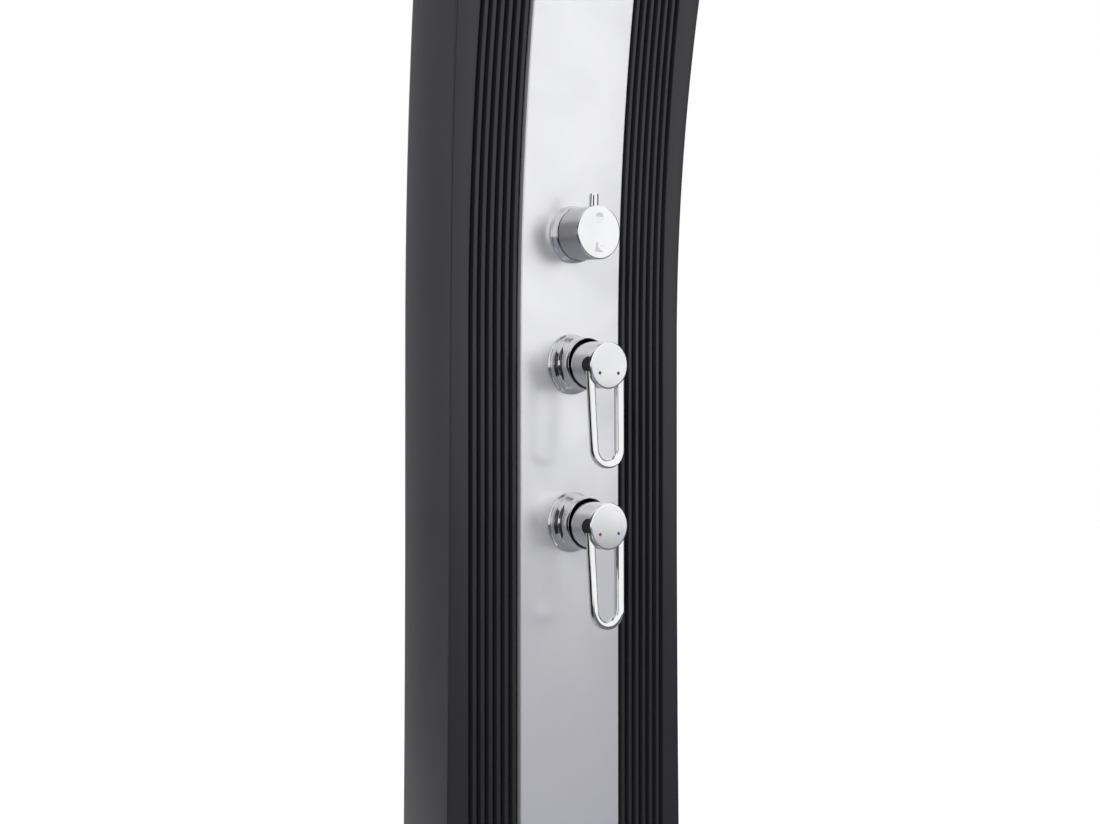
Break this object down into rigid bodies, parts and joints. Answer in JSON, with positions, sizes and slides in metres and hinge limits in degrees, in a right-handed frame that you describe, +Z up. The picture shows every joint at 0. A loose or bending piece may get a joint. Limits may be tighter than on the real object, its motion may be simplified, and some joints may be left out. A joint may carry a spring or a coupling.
{
  "type": "solar shower",
  "caption": "Free-standing solar shower column with a ribbed dark tank that arcs forward, a satin fascia, lever mixers, a diverter knob, low outlets and an overhead rain rose.",
  "frame": {"origin": "centre of the base plate's underside, which is also the centre of the four anchor holes", "axes": "+Z up, -Y to the front, where the user stands under the hood, +X to the user's right when facing the column"},
  "size_m": [0.34, 0.5858, 2.1896],
  "materials": {
    "tank_plastic": "blow-moulded dark graphite plastic with a fine satin grain",
    "fascia_aluminium": "satin anodised sheet",
    "cap_plastic": "fine-grained moulded plastic",
    "base_steel": "fine-textured powder coat",
    "collar_plastic": "satin moulded plastic",
    "bolt_steel": "zinc plated",
    "valve_brass": "machined",
    "pipe_copper": "drawn copper tube",
    "cartridge_plastic": "moulded",
    "seal_rubber": "smooth",
    "chrome": "polished",
    "nozzle_silicone": "soft matt",
    "drain_plastic": "moulded"
  },
  "bodies": {
    "column": {"arm_ball": "chrome", "arm_elbow": "valve_brass", "base_collar": "collar_plastic", "base_plate": "base_steel", "check_valve": "valve_brass", "cold_riser": "pipe_copper", "diverter_body": "valve_brass", "diverter_cartridge": "cartridge_plastic", "diverter_flange": "chrome", "diverter_nut": "valve_brass", "drain_plug": "drain_plastic", "fascia_foot": "fascia_aluminium", "fascia_hood": "fascia_aluminium", "foot_aerator": "chrome", "foot_feed_pipe": "pipe_copper", "foot_spout": "chrome", "front_fascia": "fascia_aluminium", "hose_feed_pipe": "pipe_copper", "hose_outlet": "chrome", "hot_riser": "pipe_copper", "inlet_fitting": "valve_brass", "lower_mixer_body": "valve_brass", "lower_mixer_cartridge": "cartridge_plastic", "lower_mixer_rosette": "chrome", "mixed_pipe": "pipe_copper", "mixer_nuts": "valve_brass", "pedestal": "base_steel", "pedestal_bolts": "bolt_steel", "rose_feed_pipe": "pipe_copper", "shower_arm": "chrome", "supply_tees": "valve_brass", "tank_body": "tank_plastic", "tank_bolts": "bolt_steel", "tank_nipples": "valve_brass", "tank_tees": "valve_brass", "top_cap": "cap_plastic", "top_cap_screws": "bolt_steel", "upper_mixer_body": "valve_brass", "upper_mixer_cartridge": "cartridge_plastic", "upper_mixer_rosette": "chrome", "wall_rosettes": "chrome"},
    "diverter_handle": {"diverter_spindle": "valve_brass", "diverter_knob": "chrome", "diverter_pin": "chrome", "diverter_cap": "chrome"},
    "upper_mixer_swing": {"upper_mixer_yoke": "cartridge_plastic"},
    "upper_mixer_lever": {"upper_mixer_stem": "bolt_steel", "upper_mixer_hub": "chrome", "upper_mixer_loop": "chrome", "upper_mixer_cap": "chrome"},
    "lower_mixer_swing": {"lower_mixer_yoke": "cartridge_plastic"},
    "lower_mixer_lever": {"lower_mixer_stem": "bolt_steel", "lower_mixer_hub": "chrome", "lower_mixer_loop": "chrome", "lower_mixer_cap": "chrome"},
    "rose_swivel": {"ball_seal": "seal_rubber"},
    "rose_head": {"rose_nut": "chrome", "rose_shell": "chrome", "rose_face_plate": "chrome", "rose_nozzles": "nozzle_silicone"}
  },
  "joints": [
    {"name": "diverter_turn", "type": "hinge", "parent": "column", "child": "diverter_handle", "pos_m": [0, -0.04306, 1.23105], "axis": [0, -0.999, -0.0439], "range_deg": [0, 180]},
    {"name": "upper_mixer_temperature", "type": "hinge", "parent": "column", "child": "upper_mixer_swing", "pos_m": [0, -0.046, 1.116], "axis": [0, -1, 0], "range_deg": [-45, 45]},
    {"name": "upper_mixer_lift", "type": "hinge", "parent": "upper_mixer_swing", "child": "upper_mixer_lever", "pos_m": [0, -0.046, 1.116], "axis": [-1, 0, 0], "range_deg": [0, 18]},
    {"name": "lower_mixer_temperature", "type": "hinge", "parent": "column", "child": "lower_mixer_swing", "pos_m": [0, -0.046, 0.975], "axis": [0, -1, 0], "range_deg": [-45, 45]},
    {"name": "lower_mixer_lift", "type": "hinge", "parent": "lower_mixer_swing", "child": "lower_mixer_lever", "pos_m": [0, -0.046, 0.975], "axis": [-1, 0, 0], "range_deg": [0, 18]},
    {"name": "rose_spin", "type": "hinge", "parent": "column", "child": "rose_swivel", "pos_m": [0, -0.33579, 1.94306], "axis": [0, 0, 1], "continuous": true},
    {"name": "rose_tilt", "type": "hinge", "parent": "rose_swivel", "child": "rose_head", "pos_m": [0, -0.33579, 1.94306], "axis": [1, 0, 0], "range_deg": [-15, 15]}
  ]
}
